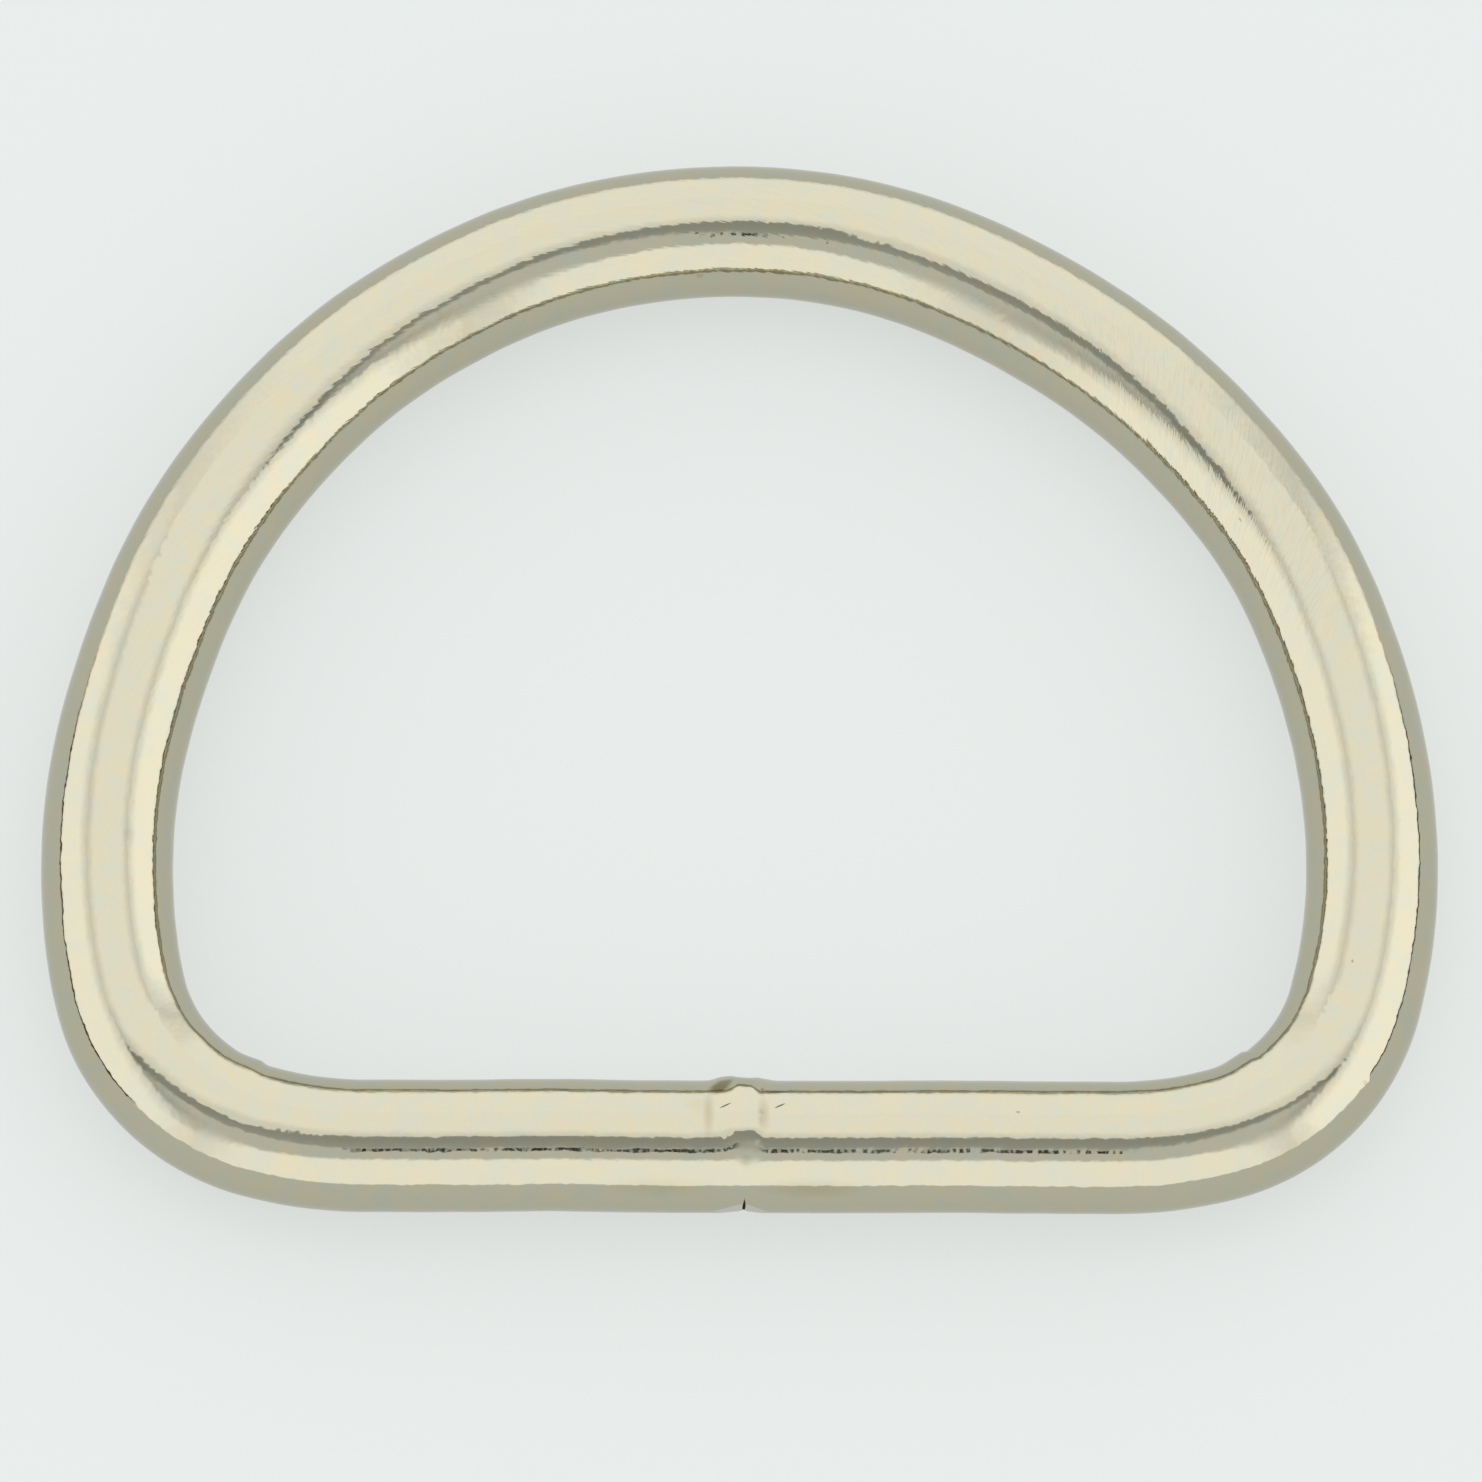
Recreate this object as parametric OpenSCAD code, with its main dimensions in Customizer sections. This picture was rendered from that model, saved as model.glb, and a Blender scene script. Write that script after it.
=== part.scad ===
// D ring bent from one round wire. The wire's two ends are butt-welded in the middle of the
// straight bar. The ring lies flat: X runs along the bar, Y from the bar to the arch, Z up.

/* [Clear opening] */
// Clear width, which is the width of the strap that the ring takes
inner_w = 30; // [24:0.5:38]
// Clear height, from the straight bar to the top of the arch
inner_h = 22.3; // [18:0.1:28]

/* [Wire] */
// Diameter of the round wire
wire_d = 3.5; // [2:0.1:5]

/* [Bends] */
// Inside radius of the slow bend between the straight bar and each corner
lead_r = 8.5; // [4:0.5:12]
// Turn of that slow bend, in degrees
lead_turn = 16; // [8:1:22]
// Inside radius of each corner
corner_r = 3.3; // [2:0.1:5]
// Turn of each corner, in degrees
corner_turn = 60; // [50:0.5:66]
// Inside radius of each side below its widest point
low_side_r = 14.5; // [8:0.2:20]
// Turn of each side above its widest point, in degrees; the crown of the arch makes up the rest
side_turn = 60; // [45:1:70]

/* [Weld] */
// Length of the weld bead along the bar
bead_l = 2.3; // [1.4:0.1:4]
// Rise of the bead over the wire on its inner and upper sides
bead_rise = 0.1; // [0.04:0.01:0.3]
// Depth at which the bead's outer and lower sides are tucked into the wire
bead_tuck = 0.02; // [0.01:0.01:0.06]
// Width of the open groove that the weld leaves on the bar's outer side
groove_w = 1.1; // [0.5:0.1:1.8]
// Depth of that groove
groove_d = 0.14; // [0.05:0.01:0.3]

/* [Hidden] */
$fn = 128;
warm_nickel = [0.80, 0.78, 0.70];
wire_r = wire_d / 2;
// Each bend stops this far short of the joint with the next one, where a ball that is wider than the
// wire by a hair closes the wire.
joint_gap = 0.03;
joint_swell = 0.005;

// Directions of the wire on the right-hand side, in degrees from the bar, where its bends change.
corner_from = lead_turn;
low_side_from = corner_from + corner_turn;
side_from = 90;
crown_from = side_from + side_turn;

// How far one bend carries the inside edge: across in X and up in Y.
function bend_move(from, to, radius) = radius * [sin(to) - sin(from), cos(from) - cos(to)];

// The three lower bends of a side, added up, set where the bar ends and where the ring is widest.
lower_bends = bend_move(0, corner_from, lead_r)
    + bend_move(corner_from, low_side_from, corner_r)
    + bend_move(low_side_from, side_from, low_side_r);
bar_half = inner_w / 2 - lower_bends.x;

// Inside radii of the side and the crown: together they rise to the clear height and run in from
// the widest point to the middle, and the two conditions fix both radii.
rise = inner_h - lower_bends.y;
run = inner_w / 2;
spread = sin(side_turn) + cos(side_turn) - 1;
side_r = (rise * cos(side_turn) - run * (1 - sin(side_turn))) / spread;
crown_r = (run * sin(side_turn) - rise * (1 - cos(side_turn))) / spread;

// Points on the inside edge where the bends change; the clear opening is centred in Y.
bar_inner_y = -inner_h / 2;
lead_start = [bar_half, bar_inner_y];
corner_start = lead_start + bend_move(0, corner_from, lead_r);
low_side_start = corner_start + bend_move(corner_from, low_side_from, corner_r);
side_start = low_side_start + bend_move(low_side_from, side_from, low_side_r);
crown_start = side_start + bend_move(side_from, crown_from, side_r);

// Wire bent about a centre on the inside of the ring, between two directions of travel
module bend(start, from, to, radius) {
    centre = start + radius * [-sin(from), cos(from)];
    gap_turn = joint_gap / (radius + wire_r) * 180 / PI;
    translate(centre)
        rotate(from + gap_turn - 90)
            rotate_extrude(angle = to - from - 2 * gap_turn)
                translate([radius + wire_r, 0])
                    circle(r = wire_r);
}

// Ball on the wire's axis where two bends meet, beside the given point of the inside edge; its poles
// lie on that axis
module joint(start, from) {
    translate(start + wire_r * [sin(from), -cos(from)])
        rotate([0, 90, from])
            sphere(r = wire_r + joint_swell);
}

// Frame of the straight bar: its axis, seen from the middle of the weld
module on_bar() {
    translate([0, bar_inner_y - wire_r, 0])
        children();
}

module bar() {
    on_bar()
        rotate([0, 90, 0])
            cylinder(r = wire_r, h = 2 * (bar_half - joint_gap), center = true);
}

// The bends of one side, from the end of the bar to the start of the crown
module side_bends() {
    bend(lead_start, 0, corner_from, lead_r);
    bend(corner_start, corner_from, low_side_from, corner_r);
    bend(low_side_start, low_side_from, side_from, low_side_r);
    bend(side_start, side_from, crown_from, side_r);
    joint(lead_start, 0);
    joint(corner_start, corner_from);
    joint(low_side_start, low_side_from);
    joint(side_start, side_from);
    joint(crown_start, crown_from);
}

// One bend over the middle, shared by both sides
module crown() {
    bend(crown_start, crown_from, 360 - crown_from, crown_r);
}

// Weld bead: a short barrel about an axis shifted inwards and up, so that it stands proud there and
// leaves the outer and lower sides of the wire as they are
module weld_bead() {
    shift = (bead_rise + bead_tuck) / 2;
    bead_r = wire_r + bead_rise - shift;
    flank_r = wire_r - shift * sqrt(2);
    on_bar()
        translate([0, shift, shift])
            rotate([0, 90, 0])
                rotate_extrude()
                    polygon([
                        [0, -bead_l / 2],
                        [flank_r, -bead_l / 2],
                        [bead_r, -bead_l / 5],
                        [bead_r, bead_l / 5],
                        [flank_r, bead_l / 2],
                        [0, bead_l / 2]
                    ]);
}

// Cutter for the open groove across the outer side of the bar at the weld
module weld_groove() {
    on_bar()
        linear_extrude(height = 2 * wire_d, center = true)
            polygon([
                [0, -wire_r + groove_d],
                [-groove_w, -wire_r - groove_d],
                [groove_w, -wire_r - groove_d]
            ]);
}

module ring() {
    color(warm_nickel)
        translate([0, 0, wire_r + joint_swell])
            difference() {
                union() {
                    bar();
                    side_bends();
                    mirror([1, 0, 0])
                        side_bends();
                    crown();
                    weld_bead();
                }
                weld_groove();
            }
}

ring();
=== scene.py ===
# D ring of nickel-plated wire, lying on a pale sheet inside a white light tent.
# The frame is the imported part: X runs along the straight bar, Y from the bar to the arch, Z up.
import math

import bpy
import numpy as np
from mathutils import Matrix, Vector


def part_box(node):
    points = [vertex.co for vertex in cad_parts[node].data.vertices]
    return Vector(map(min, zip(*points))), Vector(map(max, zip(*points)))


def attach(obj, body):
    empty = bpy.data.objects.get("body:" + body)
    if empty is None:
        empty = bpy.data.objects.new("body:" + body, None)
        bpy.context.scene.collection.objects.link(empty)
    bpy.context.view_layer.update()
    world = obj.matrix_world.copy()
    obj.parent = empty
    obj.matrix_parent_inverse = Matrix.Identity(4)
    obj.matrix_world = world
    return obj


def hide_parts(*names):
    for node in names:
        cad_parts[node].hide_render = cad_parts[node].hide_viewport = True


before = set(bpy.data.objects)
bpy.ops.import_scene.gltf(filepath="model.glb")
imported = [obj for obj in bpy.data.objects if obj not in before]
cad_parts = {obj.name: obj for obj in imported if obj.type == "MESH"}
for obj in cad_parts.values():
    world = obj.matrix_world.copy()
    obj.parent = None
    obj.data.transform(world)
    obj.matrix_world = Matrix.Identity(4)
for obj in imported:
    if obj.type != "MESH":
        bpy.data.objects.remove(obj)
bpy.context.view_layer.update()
MM = 0.001


# The ring
# One length of drawn steel wire, bent cold round a former into a D. The two ends meet in the middle of
# the straight bar and are butt-welded there, and the whole ring is then barrel-polished and plated.
ring_low, ring_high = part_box("ring")
wire_r = 1.75 * MM
joint_swell = 0.005 * MM
clear_width = ring_high.x - ring_low.x - 2 * (2 * wire_r + joint_swell)
clear_height = ring_high.y - ring_low.y - 4 * wire_r - joint_swell
wire_z = wire_r + joint_swell

# Inside radii and turns of the bends on each side, in the order in which the wire leaves the bar.
lead_r = 8.5 * MM
lead_turn = math.radians(16)
corner_r = 3.3 * MM
corner_turn = math.radians(60)
low_side_r = 14.5 * MM
side_turn = math.radians(60)
low_side_turn = math.pi / 2 - lead_turn - corner_turn


def bend_move(start, turn, radius):
    """How far a bend carries the inside edge, in X and Y: its radius times the change in the sine and
    in the cosine of the wire's direction."""
    end = start + turn
    return radius * np.array([math.sin(end) - math.sin(start), math.cos(start) - math.cos(end)])


lower_move = (
    bend_move(0, lead_turn, lead_r)
    + bend_move(lead_turn, corner_turn, corner_r)
    + bend_move(lead_turn + corner_turn, low_side_turn, low_side_r)
)
bar_half = clear_width / 2 - lower_move[0]

# The side and the crown rise to the clear height and run in to the middle, which fixes both radii.
rise = clear_height - lower_move[1]
run = clear_width / 2
spread = math.sin(side_turn) + math.cos(side_turn) - 1
side_r = (rise * math.cos(side_turn) - run * (1 - math.sin(side_turn))) / spread
crown_r = (run * math.sin(side_turn) - rise * (1 - math.cos(side_turn))) / spread

# Each stretch of the centre line as its length and its curvature, once round from the weld.
bends = [
    (lead_r, lead_turn),
    (corner_r, corner_turn),
    (low_side_r, low_side_turn),
    (side_r, side_turn),
]
half_ring = [(bar_half, 0.0)]
half_ring += [((radius + wire_r) * turn, 1 / (radius + wire_r)) for radius, turn in bends]
crown = ((crown_r + wire_r) * (math.pi - 2 * side_turn), 1 / (crown_r + wire_r))
stretches = np.array(half_ring + [crown] + half_ring[::-1])
stretch_ends = np.concatenate([[0.0], np.cumsum(stretches[:, 0])])
stretch_turns = np.concatenate([[0.0], np.cumsum(stretches[:, 0] * stretches[:, 1])])
wire_length = stretch_ends[-1]


def wire_line(s):
    """Move from the start of its stretch, direction and stretch of the centre line at each distance s
    from the weld. The direction grows by curvature times distance within a stretch, and the move is the
    integral of its cosine and sine, which for an arc is the change of sine and cosine over the
    curvature."""
    here = np.clip(np.searchsorted(stretch_ends, s, side="right") - 1, 0, len(stretches) - 1)
    gone = s - stretch_ends[here]
    curve = stretches[here, 1]
    start = stretch_turns[here]
    turn = start + curve * gone
    safe = np.where(curve == 0, 1.0, curve)
    arc = np.stack([np.sin(turn) - np.sin(start), np.cos(start) - np.cos(turn)], -1) / safe[:, None]
    straight = gone[:, None] * np.stack([np.cos(start), np.sin(start)], -1)
    moved = np.where((curve == 0)[:, None], straight, arc)
    return moved, turn, here


def stretch_starts():
    """Start point of every stretch: the moves of the stretches before it, added up from the weld."""
    moves = wire_line(np.nextafter(stretch_ends[1:], 0))[0]
    first = np.array([[0.0, -clear_height / 2 - wire_r]])
    return np.concatenate([first, first + np.cumsum(moves, axis=0)])


starts = stretch_starts()


def from_place(s, place):
    """Signed distance along the closed wire from a place, both in metres, from minus to plus half its
    length."""
    return (s - place + wire_length / 2) % wire_length - wire_length / 2


def ease(x, low, high):
    """Smooth step: 0 up to low, 1 from high on, and 3tt - 2ttt between them."""
    t = np.clip((x - low) / (high - low), 0, 1)
    return t * t * (3 - 2 * t)


def bell(x, reach):
    """Bell curve: e to the minus square of x over reach."""
    return np.exp(-((x / reach) ** 2))


# Where cold bending left the ring out of true: place along the wire, reach and outward offset, in mm.
out_of_true = [
    (5.5, 1.8, -0.020),
    (16.8, 2.4, -0.040),
    (31.4, 2.6, 0.080),
    (41.4, 3.4, -0.095),
    (54.5, 2.4, 0.030),
    (59.8, 3.0, 0.062),
    (70.6, 3.2, -0.106),
    (79.9, 2.2, 0.062),
    (93.3, 1.6, -0.036),
]

# Stations along the wire: fine over the weld and the nub of plate, finest at the weld's crack, and wider
# round the rest.
weld_reach = 1.5 * MM
crack_place = 0.08 * MM
crack_reach = 0.13 * MM
weld_step = 0.045 * MM
crack_step = 0.011 * MM
nub_place = 16.14 * MM
nub_reach = 0.40 * MM
wire_step = 0.148 * MM
around = 128  # points round the wire
fine_from = crack_place - crack_reach
fine_to = crack_place + crack_reach
crack_stations = np.arange(fine_from, fine_to, crack_step)
left_stations = np.arange(-weld_reach, fine_from, weld_step)
right_stations = np.arange(fine_to, weld_reach, weld_step)
nub_stations = np.arange(nub_place - nub_reach, nub_place + nub_reach, weld_step)
far_count = int((wire_length - 2 * weld_reach) / wire_step)
far_stations = np.linspace(weld_reach, wire_length - weld_reach, far_count, endpoint=False)
far_stations = far_stations[np.abs(far_stations - nub_place) > nub_reach + weld_step]
stations = [left_stations, crack_stations, right_stations, nub_stations, far_stations]
stations = np.sort(np.concatenate(stations) % wire_length)
angles = np.arange(around) * 2 * math.pi / around - math.pi / 2

# Rises and depths of the weld, in the order in which its two functions add them up.
pad_rise = 0.016 * MM
button_rise = 0.056 * MM
hollow_depth = 0.010 * MM
shoulder_rise = 0.110 * MM
shoulder_climb = 22  # degrees
groove_depth = 0.15 * MM
groove_left = 0.82 * MM
groove_right = 0.60 * MM
groove_facing = 190  # degrees
crack_depth = 0.035 * MM
crack_half = 0.034 * MM


def weld_relief(a, v):
    """Height of the weld over the plain wire at distance a along the wire and angle v round it, from 0
    on the inside over 90 degrees on top. A low flat pad, a button on the pad and a shoulder on the
    inside, which climbs higher next to the button, are each an eased window along the wire times an
    eased window or a bell round it; a shallow hollow lies just beyond the button."""
    pad_along = ease(a, -1.05 * MM, -0.72 * MM) * (1 - ease(a, 0.38 * MM, 0.68 * MM))
    pad = pad_rise * pad_along * ease(v, 5, 35) * (1 - ease(v, 70, 104))
    button_along = ease(a, -0.62 * MM, -0.16 * MM) * (1 - ease(a, 0.30 * MM, 0.66 * MM))
    button = button_rise * button_along * ease(v, 26, 52) * (1 - ease(v, 87, 113))
    hollow = hollow_depth * button_along * bell(v - 122, 10)
    shoulder_along = ease(a, -0.90 * MM, -0.45 * MM) * (1 - 0.35 * ease(a, -0.30 * MM, 0.60 * MM))
    shoulder_along = shoulder_along * (1 - ease(a, 0.45 * MM, 1.00 * MM))
    climb = shoulder_climb * ease(a, -0.50 * MM, -0.05 * MM) * (1 - ease(a, 0.24 * MM, 0.62 * MM))
    shoulder = shoulder_rise * shoulder_along * bell(v - 10 - climb, 18)
    return pad + button - hollow + shoulder


def groove_relief(a, v):
    """Depth of the open groove on the outside of the weld: a flat cut, facing outwards and a little
    down, takes the wire down to a shallow V, and a narrow crack follows the V's bottom line. The cut's
    depth at an angle is the radius less what is left of it over the cosine of the angle to the cut."""
    faced = np.cos(np.radians(v - groove_facing))
    side = np.where(a < crack_place, groove_left, groove_right)
    depth = groove_depth * np.clip(1 - np.abs(a - crack_place) / side, 0, 1)
    cut = np.where(faced > 0.2, wire_r - (wire_r - depth) / np.maximum(faced, 0.2), 0)
    crack = crack_depth * bell(a - crack_place, crack_half)
    crack = crack * ease(v, 160, 172) * (1 - ease(v, 222, 240))
    return np.maximum(cut, 0) + crack


right_former_place = 14.50 * MM
left_former_place = 85.12 * MM
former_rise = 0.060 * MM


def former_mark(s, v, place):
    """Step that the former's edge left on the inside of a corner: it rises over 1.3 mm and drops back
    within 0.12 mm, in a bell round the inner upper side."""
    d = from_place(s, place)
    step = ease(d, -1.30 * MM, -0.20 * MM) * (1 - ease(d, -0.12 * MM, 0.02 * MM))
    return former_rise * step * bell(v - 15, 42)


nub_rise = 0.068 * MM
nub_half = 0.12 * MM


def plate_nub(s, v):
    """Tiny nub of plate on the outside of the right-hand corner: a bell along the wire times a bell
    round it."""
    return nub_rise * bell(from_place(s, nub_place), nub_half) * bell(v - 140, 6)


wave_count = 14
wave_height = 0.0008 * MM
fewest_waves, middle_waves, most_waves = 22, 40, 87
waves_round = 5


def skin_waves(s, v):
    """Slight unevenness that drawing and bending left in the wire: a sum of sine waves with whole
    numbers of turns along the wire and round it, each lower the shorter it is, faded out underneath.
    A wave with the middle number of turns has the wave height."""
    random = np.random.RandomState(7)
    height = 0.0
    for _ in range(wave_count):
        along = random.randint(fewest_waves, most_waves + 1)
        across = random.randint(-waves_round, waves_round + 1)
        start = random.uniform(0, 2 * math.pi)
        turn = 2 * math.pi * (along * s / wire_length + across * v / 360) + start
        height = height + wave_height * middle_waves / along * np.sin(turn)
    return height * ease(v, -60, -10) * (1 - ease(v, 190, 240))


def ring_surface():
    """Points of the swept wire, stations by angles. A point is the centre line, moved outwards by the
    out-of-true offsets, plus the radius times cosine v inwards and sine v upwards."""
    moved, turn, here = wire_line(stations)
    line = starts[here] + moved
    outward = np.stack([np.sin(turn), -np.cos(turn)], -1)
    offset = sum(o * MM * bell(from_place(stations, p * MM), r * MM) for p, r, o in out_of_true)
    line = line + offset[:, None] * outward
    ahead = np.roll(line, -1, axis=0) - np.roll(line, 1, axis=0)
    ahead /= np.linalg.norm(ahead, axis=1)[:, None]
    inward = np.stack([-ahead[:, 1], ahead[:, 0]], -1)
    s = stations[:, None]
    v = np.degrees(angles)[None, :]
    a = from_place(s, 0)
    radius = wire_r + weld_relief(a, v) - groove_relief(a, v) + skin_waves(s, v)
    radius = radius + former_mark(s, v, right_former_place) + former_mark(s, v, left_former_place)
    radius = radius + plate_nub(s, v)
    flat = radius * np.cos(angles)[None, :]
    points = np.empty((len(stations), around, 3))
    points[..., :2] = line[:, None, :] + flat[..., None] * inward[:, None, :]
    points[..., 2] = wire_z + radius * np.sin(angles)[None, :]
    return points


def grid_mesh(name, points, along, across):
    """Mesh of a grid of points that closes on itself both ways, with its faces outwards. Its UV map holds
    the shares of the way along the wire and round it, from its underside, which along and across give
    for every row and column and for the first of each once more."""
    rows, columns = points.shape[:2]
    i, j = np.meshgrid(np.arange(rows), np.arange(columns), indexing="ij")
    corners_i = np.stack([i, i, i + 1, i + 1], -1)
    corners_j = np.stack([j, j + 1, j + 1, j], -1)
    faces = (corners_i % rows) * columns + corners_j % columns
    mesh = bpy.data.meshes.new(name)
    mesh.vertices.add(rows * columns)
    mesh.vertices.foreach_set("co", points.reshape(-1).astype(np.float32))
    mesh.loops.add(faces.size)
    mesh.loops.foreach_set("vertex_index", faces.reshape(-1).astype(np.int32))
    mesh.polygons.add(rows * columns)
    mesh.polygons.foreach_set("loop_start", np.arange(rows * columns, dtype=np.int32) * 4)
    mesh.polygons.foreach_set("use_smooth", np.ones(rows * columns, bool))
    uv = np.stack([along[corners_i], across[corners_j]], -1)
    mesh.uv_layers.new(name="wire").uv.foreach_set("vector", uv.reshape(-1).astype(np.float32))
    mesh.update(calc_edges=True)
    mesh.validate()
    return mesh


along = np.append(stations, stations[0] + wire_length) / wire_length
across = np.arange(around + 1) / around
ring_mesh = grid_mesh("welded_ring", ring_surface(), along, across)
ring = bpy.data.objects.new("welded_ring", ring_mesh)
bpy.context.scene.collection.objects.link(ring)


def linear(code, alpha=1.0):
    """Linear colour of an sRGB hex code: c / 12.92 below 0.04045, and ((c + 0.055) / 1.055) ** 2.4
    above."""
    parts = [int(code[k : k + 2], 16) / 255 for k in (1, 3, 5)]
    return [c / 12.92 if c <= 0.04045 else ((c + 0.055) / 1.055) ** 2.4 for c in parts] + [alpha]


def add_node(tree, kind, inputs=None, **settings):
    """Adds a node with its settings. inputs gives a socket's value, or the socket that feeds it."""
    node = tree.nodes.new(kind)
    for name, value in settings.items():
        setattr(node, name, value)
    for socket, value in (inputs or {}).items():
        if isinstance(value, bpy.types.NodeSocket):
            tree.links.new(value, node.inputs[socket])
        else:
            node.inputs[socket].default_value = value
    return node


# Bright nickel, electroplated over barrel-polished steel wire. The plate is thin and follows the wire's
# skin, so it mirrors the tent clearly but with ragged edges, and its tone is a pale warm grey.
nickel = bpy.data.materials.new("bright nickel plate on drawn wire")
nickel.use_nodes = True
tree = nickel.node_tree
tree.nodes.clear()
place = add_node(tree, "ShaderNodeTexCoord").outputs["Object"]

# Patches of warmer and cooler plate, 0.7 mm apart, where the bath laid it down unevenly.
nickel_warm = linear("#BFB79E")
nickel_cool = linear("#B7B7A6")
tone_patch = 0.7 * MM
patches = add_node(
    tree,
    "ShaderNodeTexNoise",
    {"Vector": place, "Scale": 1 / tone_patch, "Detail": 4.0, "Roughness": 0.65},
)
tone_share = add_node(
    tree,
    "ShaderNodeMapRange",
    {"Value": patches.outputs["Fac"], "From Min": 0.34, "From Max": 0.66},
)
tone = add_node(
    tree,
    "ShaderNodeMix",
    {"Factor": tone_share.outputs["Result"], 6: nickel_warm, 7: nickel_cool},
    data_type="RGBA",
).outputs[2]

# Marks on the plate and painted shades: place in mm, reach in mm, turn about Z in degrees, tone,
# strength, and the share of the reach that has full strength. First come two painted shades at the two
# ends of the weld's pad, a darker colour that stands in for the dimmer reflections in its sloping ends,
# then the heat stains round it and two scratches, then a few pits and spots round the ring.
marks_and_painted_shades = [
    # Painted shades at the pad's two ends, standing in for the dimmer reflections in their slopes.
    ((-0.88, -12.60, 3.25), (0.22, 0.95, 0.60), 0, "#968C68", 0.65, 0.0),
    ((0.56, -12.60, 3.30), (0.24, 0.74, 0.50), 0, "#948C6A", 0.62, 0.0),
    ((-1.20, -12.25, 3.40), (0.45, 0.45, 0.50), 0, "#B0A283", 0.28, 0.0),
    ((-0.57, -11.66, 3.00), (0.54, 0.27, 0.50), 50, "#7A7046", 0.85, 0.35),
    ((-0.44, -11.46, 2.80), (0.28, 0.20, 0.32), 0, "#857B4C", 0.75, 0.3),
    ((0.92, -11.84, 3.15), (0.46, 0.08, 0.12), 0, "#857D55", 0.75, 0.2),
    ((0.55, -11.78, 3.10), (0.07, 0.15, 0.16), 0, "#6E6744", 0.70, 0.0),
    ((-2.20, -14.30, 2.70), (1.80, 0.40, 0.45), 0, "#A59A6C", 0.25, 0.0),
    ((1.90, -14.34, 2.66), (1.80, 0.36, 0.45), 0, "#A59A6C", 0.40, 0.0),
    ((0.10, -13.78, 3.27), (0.26, 0.20, 0.30), 0, "#8D8A6C", 0.45, 0.0),
    ((-0.435, -12.315, 3.40), (0.22, 0.030, 0.20), 26, "#3E3B2C", 0.85, 0.5),
    ((1.00, -12.305, 3.40), (0.20, 0.030, 0.20), 28, "#3E3B2C", 0.85, 0.5),
    ((7.26, -12.48, 3.45), (0.07, 0.05, 0.10), 0, "#7C765C", 0.60, 0.4),
    ((16.11, -8.27, 3.46), (0.05, 0.07, 0.10), 0, "#7C765C", 0.60, 0.4),
    ((13.29, 4.20, 3.28), (0.035, 0.12, 0.12), 33, "#5C5844", 0.70, 0.2),
    ((7.51, 9.11, 2.55), (0.05, 0.07, 0.10), 0, "#5C5844", 0.80, 0.4),
    ((2.35, 11.98, 3.35), (0.05, 0.04, 0.10), -10, "#5C5844", 0.70, 0.2),
    ((-1.13, 12.23, 3.39), (0.09, 0.03, 0.10), 10, "#3E3B2C", 0.80, 0.3),
    ((-1.03, 11.33, 2.60), (0.16, 0.14, 0.16), 0, "#A39460", 0.45, 0.2),
    ((-16.17, -4.80, 3.40), (0.20, 0.24, 0.20), 0, "#A8A48E", 0.35, 0.3),
]
for middle, reach, mark_turn, mark_code, strength, core in marks_and_painted_shades:
    local = add_node(
        tree,
        "ShaderNodeMapping",
        {
            "Vector": place,
            "Location": [c * MM for c in middle],
            "Rotation": (0, 0, math.radians(mark_turn)),
            "Scale": [c * MM for c in reach],
        },
        vector_type="TEXTURE",
    )
    off = add_node(tree, "ShaderNodeVectorMath", {0: local.outputs[0]}, operation="LENGTH")
    on_mark = add_node(
        tree,
        "ShaderNodeMapRange",
        {
            "Value": off.outputs["Value"],
            "From Min": core,
            "From Max": 1.0,
            "To Min": strength,
            "To Max": 0.0,
        },
        interpolation_type="SMOOTHSTEP",
    )
    tone = add_node(
        tree,
        "ShaderNodeMix",
        {"Factor": on_mark.outputs["Result"], 6: tone, 7: linear(mark_code)},
        data_type="RGBA",
    ).outputs[2]

# The skin of the wire under the plate: fine pits and humps 0.28 mm apart, a few microns deep.
skin_grain = 0.28 * MM
skin_depth = 0.0052 * MM
grain = add_node(
    tree,
    "ShaderNodeTexNoise",
    {"Vector": place, "Scale": 1 / skin_grain, "Detail": 1.0, "Roughness": 0.45},
)
skin = add_node(
    tree,
    "ShaderNodeBump",
    {"Height": grain.outputs["Fac"], "Distance": skin_depth, "Strength": 1.0},
)

# Hairlines that the drawing die and the polishing stones left: long, shallow and at a slant to the
# wire, on the sides and the arch. On the right-hand side of the arch shorter ones cross them more
# steeply. Both follow the wire in its UV map, turned to mm, and are a touch darker than the plate.
wire_map = add_node(tree, "ShaderNodeUVMap", uv_map="wire").outputs["UV"]
wire_girth = 2 * math.pi * wire_r
hair_colour = linear("#9A9784")
hair_starts, hair_full = 0.45, 0.70  # noise levels at which a hairline starts and is darkest
hairlines = [
    # Slant in degrees, length and spacing in mm, depth in microns, how much darker the deepest are, and
    # where: the middle along the wire in mm and round it in degrees, with their reaches.
    (16, 1.40, 0.070, 1.2, 0.04, (49.1, 75.0), (34.0, 130.0)),
    (50, 0.70, 0.060, 2.0, 0.14, (34.0, 80.0), (8.0, 60.0)),
]
surface = skin
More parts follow.
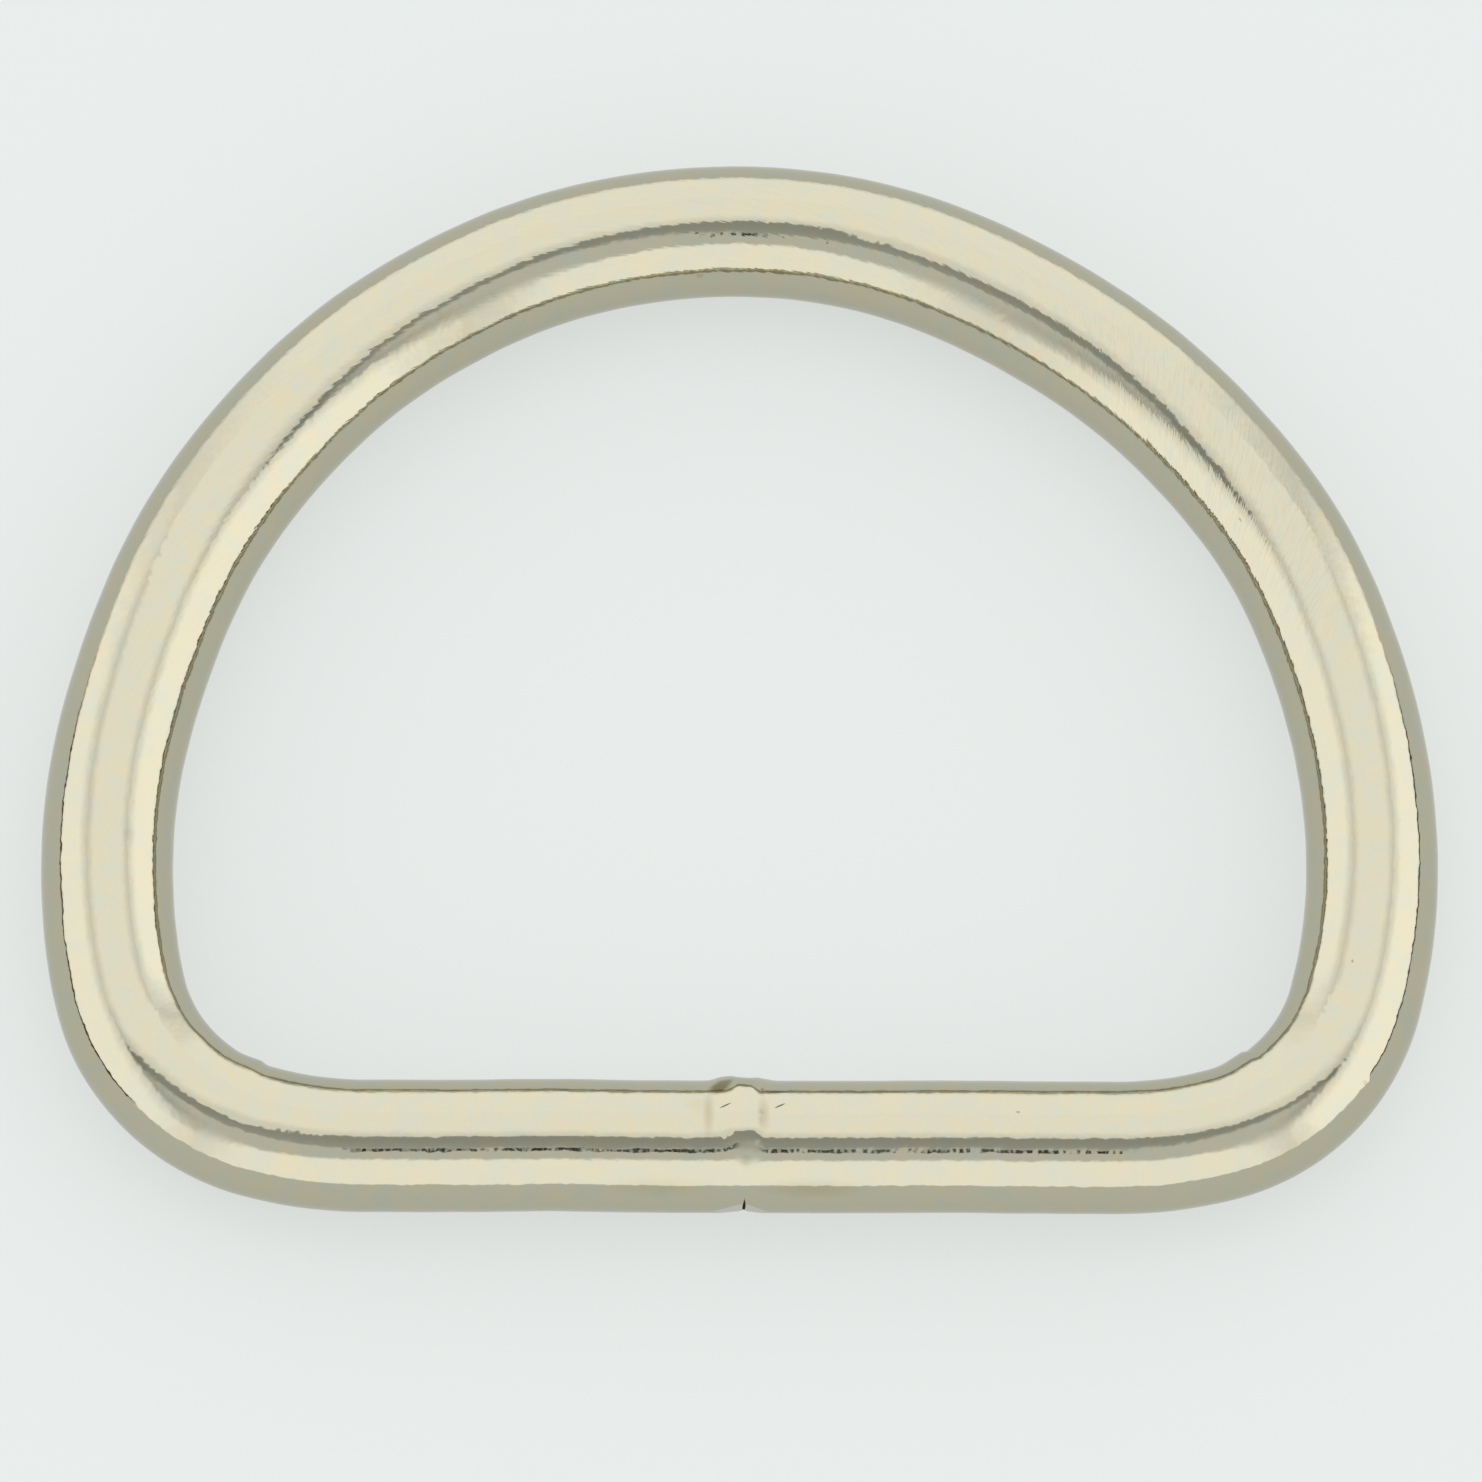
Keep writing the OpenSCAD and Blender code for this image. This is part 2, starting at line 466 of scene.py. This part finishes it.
for slant, hair_length, hair_space, hair_depth, darker, middle, reach in hairlines:
    unrolled = add_node(
        tree,
        "ShaderNodeMapping",
        {
            "Vector": wire_map,
            "Rotation": (0, 0, -math.radians(slant)),
            "Scale": (wire_length / MM, wire_girth / MM, 1.0),
        },
    )
    combed = add_node(
        tree,
        "ShaderNodeMapping",
        {"Vector": unrolled.outputs[0], "Scale": (1 / hair_length, 1 / hair_space, 1.0)},
    )
    hair = add_node(
        tree,
        "ShaderNodeTexNoise",
        {"Vector": combed.outputs[0], "Scale": 1.0, "Detail": 1.0},
        noise_dimensions="2D",
    )
    local = add_node(
        tree,
        "ShaderNodeMapping",
        {
            "Vector": wire_map,
            "Location": (middle[0] * MM / wire_length, (middle[1] + 90) / 360, 0),
            "Scale": (reach[0] * MM / wire_length, reach[1] / 360, 1.0),
        },
        vector_type="TEXTURE",
    )
    off = add_node(tree, "ShaderNodeVectorMath", {0: local.outputs[0]}, operation="LENGTH")
    on_hair = add_node(
        tree,
        "ShaderNodeMapRange",
        {"Value": off.outputs["Value"], "From Min": 1.0, "From Max": 0.5, "To Min": 0.0, "To Max": 1.0},
        interpolation_type="SMOOTHSTEP",
    )
    hair_tone = add_node(
        tree,
        "ShaderNodeMapRange",
        {
            "Value": hair.outputs["Fac"],
            "From Min": hair_starts,
            "From Max": hair_full,
            "To Min": 0.0,
            "To Max": darker,
        },
    )
    hair_share = add_node(
        tree,
        "ShaderNodeMath",
        {0: hair_tone.outputs["Result"], 1: on_hair.outputs["Result"]},
        operation="MULTIPLY",
    )
    tone = add_node(
        tree,
        "ShaderNodeMix",
        {"Factor": hair_share.outputs[0], 6: tone, 7: hair_colour},
        data_type="RGBA",
    ).outputs[2]
    surface = add_node(
        tree,
        "ShaderNodeBump",
        {
            "Height": hair.outputs["Fac"],
            "Distance": hair_depth * 0.001 * MM,
            "Strength": on_hair.outputs["Result"],
            "Normal": surface.outputs["Normal"],
        },
    )

# The warm patches are the glossiest.
warm_roughness = 0.045
cool_roughness = 0.08
gloss = add_node(
    tree,
    "ShaderNodeMapRange",
    {
        "Value": patches.outputs["Fac"],
        "From Min": 0.3,
        "From Max": 0.7,
        "To Min": warm_roughness,
        "To Max": cool_roughness,
    },
)

# Two places on the weld: the stones don't reach all of its upset metal, which stays duller, and its crack
# is painted near black, a painted shade that stands in for the depth of the crack, which the mesh cuts
# only shallowly. Each is a place and a reach in mm, and the share of the reach that it fills.
weld_places = [
    ((0.17, -13.60, 3.25), (0.50, 0.50, 0.60), 0.5),
    # The crack, painted dark as shade for its depth.
    ((0.08, -14.55, 1.52), (0.048, 0.70, 0.92), 0.8),
]
on_weld = []
for middle, reach, core in weld_places:
    local = add_node(
        tree,
        "ShaderNodeMapping",
        {"Vector": place, "Location": [c * MM for c in middle], "Scale": [c * MM for c in reach]},
        vector_type="TEXTURE",
    )
    off = add_node(tree, "ShaderNodeVectorMath", {0: local.outputs[0]}, operation="LENGTH")
    inside = add_node(
        tree,
        "ShaderNodeMapRange",
        {"Value": off.outputs["Value"], "From Min": 1.0, "From Max": core, "To Min": 0.0, "To Max": 1.0},
        interpolation_type="SMOOTHSTEP",
    )
    on_weld.append(inside.outputs["Result"])
dull, in_crack = on_weld
dull_added = 0.12
# Painted shade in the crack: a near-black colour that stands in for its depth.
painted_crack_shade = linear("#281E0C")
weld_gloss = add_node(
    tree,
    "ShaderNodeMath",
    {0: dull, 1: dull_added, 2: gloss.outputs["Result"]},
    operation="MULTIPLY_ADD",
)
roughness = add_node(
    tree, "ShaderNodeMath", {0: in_crack, 1: weld_gloss.outputs[0]}, operation="MAXIMUM"
)
plated = add_node(tree, "ShaderNodeMath", {0: 1.0, 1: in_crack}, operation="SUBTRACT")
tone = add_node(
    tree,
    "ShaderNodeMix",
    {"Factor": in_crack, 6: tone, 7: painted_crack_shade},
    data_type="RGBA",
).outputs[2]

# The specular level is that of the painted shade in the crack, which hardly shines: a metal's shine
# doesn't depend on it. The tint keeps the plate's edges from turning quite white where they are seen at a
# slant.
metal = add_node(
    tree,
    "ShaderNodeBsdfPrincipled",
    {
        "Base Color": tone,
        "Metallic": plated.outputs[0],
        "Roughness": roughness.outputs[0],
        "Specular IOR Level": 0.1,
        "Specular Tint": (0.9, 0.9, 0.9, 1.0),
        "Normal": surface.outputs["Normal"],
    },
)
add_node(tree, "ShaderNodeOutputMaterial", {"Surface": metal.outputs["BSDF"]})
ring.data.materials.append(nickel)

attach(ring, "root")
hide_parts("ring")


# The sheet that the ring lies on
# A plain pale sheet of opal acrylic, large enough to fill the view at any angle. It isn't part of the
# object.
sheet_half = 3.0
corners = [(-sheet_half, -sheet_half, 0), (sheet_half, -sheet_half, 0)]
corners += [(sheet_half, sheet_half, 0), (-sheet_half, sheet_half, 0)]
sheet_mesh = bpy.data.meshes.new("pale_sheet")
sheet_mesh.from_pydata(corners, [], [(0, 1, 2, 3)])
sheet = bpy.data.objects.new("pale_sheet", sheet_mesh)
bpy.context.scene.collection.objects.link(sheet)

# Opal acrylic, rolled matt: it scatters light from above and from the lamp below it, which gives the
# eye an even pale tone with only a faint shade under the wire.
opal = bpy.data.materials.new("matt opal acrylic lit from below")
opal.use_nodes = True
tree = opal.node_tree
tree.nodes.clear()
matt = add_node(
    tree,
    "ShaderNodeBsdfPrincipled",
    {
        "Base Color": linear("#7C7E7D"),
        "Roughness": 1.0,
        "Specular IOR Level": 0.0,
        "Emission Color": linear("#F7FBF9"),
        "Emission Strength": 0.60,
    },
)
add_node(tree, "ShaderNodeOutputMaterial", {"Surface": matt.outputs["BSDF"]})
sheet_mesh.materials.append(opal)


# The light tent
# A box of white cloth, lit evenly from outside, with the ring in the middle of its floor. Its front top
# flap hangs in shade and is cut open for the lens, a slit in it is black, and a dark gap shows where the
# side walls meet the table. The tones below are how bright each part glows.
top_tone = 1.47
top_by_flap_tone = 0.84 * top_tone
back_tone = 1.50
front_tone = 1.52
left_tone = 1.60
right_tone = 1.68
flap_tone = 0.90
opening_back_tone = 0.49
opening_front_tone = 0.60
fold_tone = 0.48
slit_tone = 0.0
gap_tone = 0.06

# Half the tent's width and depth in the middle of its sides, for a top at a height of 1.
tent_half_width = 0.69
tent_half_depth = 0.905

world = bpy.data.worlds.new("light tent")
world.use_nodes = True
bpy.context.scene.world = world
tree = world.node_tree
tree.nodes.clear()
direction = add_node(tree, "ShaderNodeTexCoord").outputs["Generated"]
ray = add_node(tree, "ShaderNodeSeparateXYZ", {0: direction})

# Kinds of step: the node, its settings and the sockets that its values go to. A share runs smoothly from
# its fourth value to its fifth as its first goes from the second to the third.
share = ("ShaderNodeMapRange", {"interpolation_type": "SMOOTHSTEP"}, range(5))
blend = ("ShaderNodeMix", {"data_type": "FLOAT"}, (0, 2, 3))
product, quotient, total, difference, least, greatest, size, power, scaled_sum = [
    ("ShaderNodeMath", {"operation": operation}, range(3))
    for operation in (
        "MULTIPLY",
        "DIVIDE",
        "ADD",
        "SUBTRACT",
        "MINIMUM",
        "MAXIMUM",
        "ABSOLUTE",
        "POWER",
        "MULTIPLY_ADD",
    )
]
tent_steps = [
    # Where a ray meets a flat top at a height of 1: u to the right and v to the back.
    ("u", quotient, ("x", "z")),
    ("v", quotient, ("y", "z")),
    ("u size", size, ("u",)),
    ("v size", size, ("v",)),
    ("left", share, ("x", 0.02, -0.02, 0.0, 1.0)),
    ("front", share, ("y", 0.02, -0.02, 0.0, 1.0)),
    ("front left", product, ("left", "front")),
    # The tent's half width and half depth: its sides bow out to the front and back, most at the front
    # left corner.
    ("far u", least, ("u size", 1.0)),
    ("far v", least, ("v size", 1.0)),
    ("bow x", share, ("front left", 0.0, 1.0, 0.13, 0.25)),
    ("bow y", product, ("front left", 0.25)),
    ("half width", scaled_sum, ("far v", "bow x", tent_half_width)),
    ("half depth", scaled_sum, ("far u", "bow y", tent_half_depth)),
    ("wide part", quotient, ("x", "half width")),
    ("deep part", quotient, ("y", "half depth")),
    ("wide", size, ("wide part",)),
    ("deep", size, ("deep part",)),
    ("wall", greatest, ("wide", "deep")),
    ("over edge", difference, ("z", "wall")),
    ("past corner", difference, ("wide", "deep")),
    # The four walls and the back half of the top.
    ("is side", share, ("past corner", -0.02, 0.02, 0.0, 1.0)),
    ("side wall", share, ("x", -0.1, 0.1, left_tone, right_tone)),
    ("end wall", share, ("y", -0.1, 0.1, front_tone, back_tone)),
    ("walls", blend, ("is side", "end wall", "side wall")),
    ("back top", share, ("v", 0.18, -0.02, top_tone, top_by_flap_tone)),
    # The flap starts just in front of the middle, with a notch on the left and a step on the right. Its
    # opening is round on the left and pointed on the right, lighter towards the front, with a dark fold
    # along its back edge. The slit lies across the opening, with one break in it, and fades out to the
    # right.
    ("from notch", difference, ("u", -0.15)),
    ("off notch", size, ("from notch",)),
    ("notch", share, ("off notch", 0.0, 0.13, 0.12, 0.0)),
    ("lag", share, ("u", 0.05, 0.20, 0.0, 0.035)),
    ("notch and lag", total, ("notch", "lag")),
    ("flap v", total, ("v", "notch and lag")),
    ("on flap", share, ("flap v", -0.025, -0.06, 0.0, 1.0)),
    ("opening reach", share, ("left", 0.0, 1.0, 0.50, 0.55)),
    ("opening power", share, ("left", 0.0, 1.0, 1.05, 2.0)),
    ("opening u", quotient, ("u size", "opening reach")),
    ("opening v", quotient, ("v size", 0.42)),
    ("round u", power, ("opening u", "opening power")),
    ("round v", power, ("opening v", "opening power")),
    ("opening sum", total, ("round u", "round v")),
    ("in opening", share, ("opening sum", 1.18, 0.84, 0.0, 1.0)),
    ("fold start", share, ("u size", 0.03, 0.23, 0.0, 1.0)),
    ("fold end", share, ("u size", 0.80, 0.66, 0.0, 1.0)),
    ("fold depth", share, ("v", -0.26, -0.13, 0.0, 1.0)),
    ("fold along", product, ("fold start", "fold end")),
    ("fold", product, ("fold along", "fold depth")),
    ("opening", share, ("v", -0.50, -0.10, opening_front_tone, opening_back_tone)),
    ("open flap", blend, ("in opening", flap_tone, "opening")),
    ("flap", blend, ("fold", "open flap", fold_tone)),
    ("plain top", blend, ("on flap", "back top", "flap")),
    ("slit front", share, ("v", -0.555, -0.54, 0.0, 1.0)),
    ("slit back", share, ("v", -0.415, -0.430, 0.0, 1.0)),
    ("slit left", share, ("u", -0.028, -0.024, 0.0, 1.0)),
    ("slit right", share, ("u", 0.044, 0.024, 0.0, 1.0)),
    ("from break", difference, ("u", -0.008)),
    ("off break", size, ("from break",)),
    ("unbroken", share, ("off break", 0.005, 0.009, 0.0, 1.0)),
    ("slit across", product, ("slit front", "slit back")),
    ("slit ends", product, ("slit left", "slit right")),
    ("slit along", product, ("slit ends", "unbroken")),
    ("slit", product, ("slit across", "slit along")),
    ("top", blend, ("slit", "plain top", slit_tone)),
    # Walls and top together, shaded along the seams; the top's edge is soft where the flap hangs.
    ("off corner", size, ("past corner",)),
    ("at corner", share, ("off corner", 0.0, 0.45, 0.26, 0.0)),
    ("front soft", scaled_sum, ("front", 0.05, 0.02)),
    ("soft edge", scaled_sum, ("front", "at corner", "front soft")),
    ("soft start", product, ("soft edge", -1.0)),
    ("is top", share, ("over edge", "soft start", "soft edge", 0.0, 1.0)),
    ("is wall", difference, (1.0, "is top")),
    ("cloth", blend, ("is top", "walls", "top")),
    ("cool flap", share, ("plain top", top_tone, opening_back_tone, 0.0, 1.0)),
    ("cool", product, ("cool flap", "is top")),
    ("off edge", size, ("over edge",)),
    ("edge shade", share, ("off edge", 0.0, 0.40, 0.22, 0.0)),
    ("edge seam", product, ("edge shade", "is side")),
    ("front depth", share, ("left", 0.0, 1.0, 0.18, 0.13)),
    ("back depth", share, ("left", 0.0, 1.0, 0.25, 0.15)),
    ("corner depth", blend, ("front", "back depth", "front depth")),
    ("corner shade", share, ("off corner", 0.0, 0.38, "corner depth", 0.0)),
    ("corner seam", product, ("corner shade", "is wall")),
    ("seam", greatest, ("edge seam", "corner seam")),
    ("seam light", difference, (1.0, "seam")),
    ("seamed cloth", product, ("cloth", "seam light")),
    ("any foot", share, ("z", 0.12, 0.02, 1.0, 0.84)),
    ("foot", blend, ("front", "any foot", 1.0)),
    ("shaded cloth", product, ("seamed cloth", "foot")),
    ("near table", share, ("z", 0.058, 0.042, 0.0, 1.0)),
    ("gap start", share, ("left", 0.0, 1.0, -0.37, -0.54)),
    ("gap start end", total, ("gap start", 0.06)),
    ("after start", share, ("y", "gap start", "gap start end", 0.0, 1.0)),
    ("before end", share, ("y", 0.66, 0.44, 0.0, 1.0)),
    ("gap along", product, ("after start", "before end")),
    ("gap", product, ("near table", "gap along")),
    ("glow", blend, ("gap", "shaded cloth", gap_tone)),
]
made = {"x": ray.outputs["X"], "y": ray.outputs["Y"], "z": ray.outputs["Z"]}
for name, (kind, settings, sockets), values in tent_steps:
    inputs = {socket: made.get(value, value) for socket, value in zip(sockets, values)}
    made[name] = add_node(tree, kind, inputs, **settings).outputs[0]

# Daylight from the room comes in through the opening and cools the flap a little, and what shows
# through the gap is brown.
light_colour = add_node(
    tree,
    "ShaderNodeMix",
    {"Factor": made["cool"], 6: linear("#FFFFFF"), 7: linear("#F8FDFD")},
    data_type="RGBA",
)
gap_colour = add_node(
    tree,
    "ShaderNodeMix",
    {"Factor": made["gap"], 6: light_colour.outputs[2], 7: linear("#FFD9AC")},
    data_type="RGBA",
)
glow = add_node(
    tree, "ShaderNodeBackground", {"Color": gap_colour.outputs[2], "Strength": made["glow"]}
)
add_node(tree, "ShaderNodeOutputWorld", {"Surface": glow.outputs[0]})
bpy.context.scene.view_settings.view_transform = "Standard"


# The camera
# A long lens looks down through the open top, 70 degrees above the sheet and a little turned.
camera_target = Vector((0.038, -1.556, 1.755)) * MM
camera_distance = 0.570
camera_elevation = math.radians(70.5)
camera_azimuth = math.radians(-3.1)
camera_roll = math.radians(-3.1)
sensor_width = 36.0
lens_px = 21485
photo_px = 1482
back = Vector(
    (
        math.sin(camera_azimuth) * math.cos(camera_elevation),
        -math.cos(camera_azimuth) * math.cos(camera_elevation),
        math.sin(camera_elevation),
    )
)
level = Vector((math.cos(camera_azimuth), math.sin(camera_azimuth), 0))
upright = back.cross(level)
right = math.cos(camera_roll) * level - math.sin(camera_roll) * upright
up = math.sin(camera_roll) * level + math.cos(camera_roll) * upright
camera_data = bpy.data.cameras.new("long lens")
camera_data.sensor_width = sensor_width
camera_data.lens = lens_px / photo_px * sensor_width
camera_data.clip_start = 0.05
camera_data.clip_end = 20
camera = bpy.data.objects.new("long lens", camera_data)
bpy.context.scene.collection.objects.link(camera)
camera.matrix_world = Matrix.Translation(camera_target + back * camera_distance) @ Matrix(
    (right, up, back)
).transposed().to_4x4()
bpy.context.scene.camera = camera
